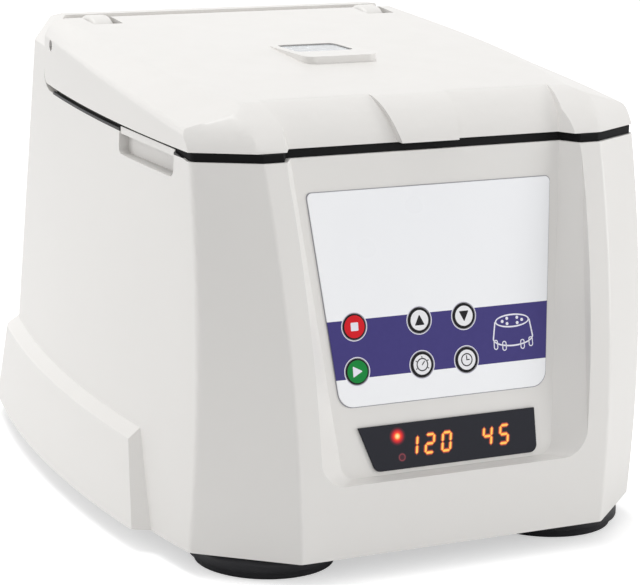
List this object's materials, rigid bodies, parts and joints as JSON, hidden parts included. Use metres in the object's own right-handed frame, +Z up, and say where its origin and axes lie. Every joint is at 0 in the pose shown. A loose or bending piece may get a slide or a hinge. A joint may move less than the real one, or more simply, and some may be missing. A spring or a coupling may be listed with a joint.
{
  "type": "clinical centrifuge",
  "caption": "Bench centrifuge with a hinged lid, angled tube rotor in a sealed chamber, sloping key panel with digit display, and wide rubber feet.",
  "frame": {"origin": "middle of the base, on the surface that the feet stand on", "axes": "+X to the right of someone at the key panel, +Y to the back, +Z up"},
  "size_m": [0.2732, 0.3568, 0.2383],
  "materials": {
    "shell_white": "satin moulded ABS",
    "base_grey": "powder coat",
    "steel": "plain zinc plated",
    "foot_rubber": "matt",
    "seal_black": "matt",
    "bowl_steel": "spun stainless",
    "motor_paint": "semi-gloss",
    "copper": "lacquered copper",
    "rotor_metal": "satin anodised",
    "black_plastic": "fine grain",
    "label_film": "satin film",
    "smoked_window": "polished",
    "key_red": "satin",
    "key_green": "satin",
    "key_white": "satin",
    "board_green": "solder mask",
    "lamp_red": "clear lens",
    "liner_grey": "fine grain",
    "clear_pane": "polished acrylic",
    "sleeve_plastic": "moulded"
  },
  "bodies": {
    "housing": {"housing_shell": "shell_white", "hinge_knuckles": "shell_white", "base_plate": "base_grey", "case_screws": "steel", "foot_front_left": "foot_rubber", "foot_front_right": "foot_rubber", "foot_rear_left": "foot_rubber", "foot_rear_right": "foot_rubber", "rim_gasket": "seal_black", "shaft_boot": "seal_black", "chamber_bowl": "bowl_steel", "motor_dampers": "foot_rubber", "mount_plate": "steel", "motor_can": "motor_paint", "motor_stator": "copper", "motor_bearings": "steel", "console_label": "label_film", "display_window": "smoked_window", "key_switches": "black_plastic", "control_board": "board_green", "board_posts": "steel", "speed_digits": "black_plastic", "timer_digits": "black_plastic", "indicator_lamps": "lamp_red", "lock_solenoid": "motor_paint", "inlet_socket": "black_plastic", "switch_frame": "black_plastic", "fuse_holder": "black_plastic", "fan_frame": "black_plastic", "power_board": "board_green", "board_parts": "motor_paint", "transformer": "motor_paint"},
    "lid": {"lid_shell": "shell_white", "lid_liner": "liner_grey", "liner_screws": "steel", "sight_pane": "clear_pane", "port_tube": "liner_grey", "chamber_seal": "seal_black", "lid_striker": "steel", "hinge_lugs": "liner_grey", "hinge_pins": "steel"},
    "rotor": {"motor_shaft": "steel", "motor_armature": "copper", "rotor_head": "rotor_metal", "rotor_nut": "black_plastic", "tube_sleeve_1": "sleeve_plastic", "tube_sleeve_2": "sleeve_plastic", "tube_sleeve_3": "sleeve_plastic", "tube_sleeve_4": "sleeve_plastic", "tube_sleeve_5": "sleeve_plastic", "tube_sleeve_6": "sleeve_plastic"},
    "stop_key": {"key_stop": "key_red"},
    "start_key": {"key_start": "key_green"},
    "up_key": {"key_up": "key_white"},
    "mode_key": {"key_mode": "key_white"},
    "down_key": {"key_down": "key_white"},
    "timer_key": {"key_timer": "key_white"},
    "rocker": {"power_rocker": "black_plastic"},
    "lock_bolt": {"lock_pin": "steel"},
    "fan": {"fan_impeller": "black_plastic"}
  },
  "joints": [
    {"name": "lid_hinge", "type": "hinge", "parent": "housing", "child": "lid", "pos_m": [0, 0.0756, 0.2229], "axis": [-1, 0, 0], "range_deg": [0, 80]},
    {"name": "rotor_spin", "type": "hinge", "parent": "housing", "child": "rotor", "pos_m": [0, -0.0304, 0.051], "axis": [0, 0, 1], "continuous": true},
    {"name": "stop_press", "type": "slide", "parent": "housing", "child": "stop_key", "axis": [0, 0.979, -0.2036], "range_m": [0, 0.0005], "stiffness_N_per_m": 1500, "springref_m": -0.0004},
    {"name": "start_press", "type": "slide", "parent": "housing", "child": "start_key", "axis": [0, 0.979, -0.2036], "range_m": [0, 0.0005], "stiffness_N_per_m": 1500, "springref_m": -0.0004},
    {"name": "up_press", "type": "slide", "parent": "housing", "child": "up_key", "axis": [0, 0.979, -0.2036], "range_m": [0, 0.0005], "stiffness_N_per_m": 1500, "springref_m": -0.0004},
    {"name": "mode_press", "type": "slide", "parent": "housing", "child": "mode_key", "axis": [0, 0.979, -0.2036], "range_m": [0, 0.0005], "stiffness_N_per_m": 1500, "springref_m": -0.0004},
    {"name": "down_press", "type": "slide", "parent": "housing", "child": "down_key", "axis": [0, 0.979, -0.2036], "range_m": [0, 0.0005], "stiffness_N_per_m": 1500, "springref_m": -0.0004},
    {"name": "timer_press", "type": "slide", "parent": "housing", "child": "timer_key", "axis": [0, 0.979, -0.2036], "range_m": [0, 0.0005], "stiffness_N_per_m": 1500, "springref_m": -0.0004},
    {"name": "power_rock", "type": "hinge", "parent": "housing", "child": "rocker", "pos_m": [0, 0.15997, 0.077], "axis": [-1, 0, 0], "range_deg": [0, 16]},
    {"name": "lock_slide", "type": "slide", "parent": "housing", "child": "lock_bolt", "axis": [-1, 0, 0], "range_m": [0, 0.008]},
    {"name": "fan_spin", "type": "hinge", "parent": "housing", "child": "fan", "pos_m": [0, 0.14159, 0.12739], "axis": [0, 0.9873, 0.1591], "continuous": true}
  ]
}
